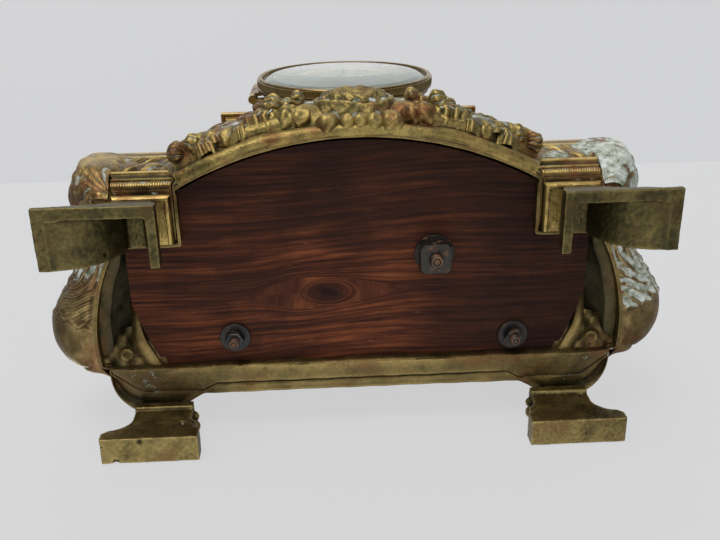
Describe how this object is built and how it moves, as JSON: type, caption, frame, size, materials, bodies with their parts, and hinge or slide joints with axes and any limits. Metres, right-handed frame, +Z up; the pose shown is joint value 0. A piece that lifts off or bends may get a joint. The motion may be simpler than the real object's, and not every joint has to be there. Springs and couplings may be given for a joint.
{
  "type": "clock inkstand",
  "caption": "Bowed cast-brass desk inkstand on bracket feet, with two lidded ink pots beside a glazed drum clock on a moulded pedestal.",
  "frame": {"origin": "centre of the footprint on the table plane, under the feet", "axes": "X is the width, +Y the back of the stand, +Z up"},
  "size_m": [0.281, 0.15, 0.296],
  "materials": {
    "cast_brass": "aged cast, worn highlights and verdigris in the recesses",
    "polished_brass": "turned and lacquered",
    "dark_iron": "dark, rusted",
    "steel": "satin",
    "blued_steel": "blued",
    "wood": "stained pine",
    "dial": "silvered",
    "glass": "bevelled",
    "liner": "white glazed ceramic"
  },
  "bodies": {
    "stand": {"base_casting": "cast_brass", "side_scroll_left": "cast_brass", "side_scroll_right": "cast_brass", "plinth_left": "cast_brass", "plinth_right": "cast_brass", "front_foot_left": "cast_brass", "front_foot_right": "cast_brass", "rear_foot_left": "cast_brass", "rear_foot_right": "cast_brass", "front_shell": "cast_brass", "garland_left": "cast_brass", "garland_right": "cast_brass", "wood_board": "wood", "centre_tie_rod": "dark_iron", "square_nut": "dark_iron", "centre_washer": "dark_iron", "rear_tie_rod_left": "dark_iron", "rear_tie_rod_right": "dark_iron", "rear_washer_left": "dark_iron", "rear_washer_right": "dark_iron", "rear_nut_left": "dark_iron", "rear_nut_right": "dark_iron", "pedestal_tier": "cast_brass", "pedestal_block": "cast_brass", "drum_cradle": "cast_brass", "drum_case": "polished_brass", "slip_ring": "polished_brass", "dial_plate": "dial", "movement_plate_front": "polished_brass", "movement_plate_back": "polished_brass", "movement_pillars": "polished_brass", "mainspring_barrel": "polished_brass", "crest_finial": "cast_brass", "ink_pot_left": "cast_brass", "ink_pot_right": "cast_brass", "pot_liner_left": "liner", "pot_liner_right": "liner"},
    "bezel": {"bezel_ring": "polished_brass", "bezel_glass": "glass"},
    "minute_hand": {"minute_hand": "blued_steel"},
    "hour_hand": {"hour_hand": "blued_steel"},
    "winding_arbor": {"winding_arbor": "steel"},
    "pendulum": {"pendulum": "polished_brass"},
    "back_door": {"back_door": "polished_brass"},
    "lid_left": {"pot_lid_left": "cast_brass"},
    "lid_right": {"pot_lid_right": "cast_brass"}
  },
  "joints": [
    {"name": "bezel_hinge", "type": "hinge", "parent": "stand", "child": "bezel", "pos_m": [-0.0532, -0.046, 0.195], "axis": [0, 0, -1], "range_deg": [0, 100]},
    {"name": "minute_turn", "type": "hinge", "parent": "stand", "child": "minute_hand", "pos_m": [0, -0.05, 0.195], "axis": [0, 1, 0], "continuous": true},
    {"name": "hour_turn", "type": "hinge", "parent": "stand", "child": "hour_hand", "pos_m": [0, -0.048, 0.195], "axis": [0, 1, 0], "continuous": true},
    {"name": "winding", "type": "hinge", "parent": "stand", "child": "winding_arbor", "pos_m": [0, -0.045, 0.177], "axis": [0, 1, 0], "continuous": true},
    {"name": "pendulum_swing", "type": "hinge", "parent": "stand", "child": "pendulum", "pos_m": [0, -0.006, 0.2195], "axis": [0, 1, 0], "range_deg": [-6, 6]},
    {"name": "back_door_hinge", "type": "hinge", "parent": "stand", "child": "back_door", "pos_m": [-0.0505, 0.026, 0.195], "axis": [0, 0, 1], "range_deg": [0, 100]},
    {"name": "lid_left_hinge", "type": "hinge", "parent": "stand", "child": "lid_left", "pos_m": [-0.098, 0.0236, 0.1146], "axis": [-1, 0, 0], "range_deg": [0, 95]},
    {"name": "lid_right_hinge", "type": "hinge", "parent": "stand", "child": "lid_right", "pos_m": [0.098, 0.0236, 0.1146], "axis": [-1, 0, 0], "range_deg": [0, 95]}
  ],
  "couplings": [
    {"joint": "hour_turn", "follows": "minute_turn", "ratio": 0.083333}
  ]
}
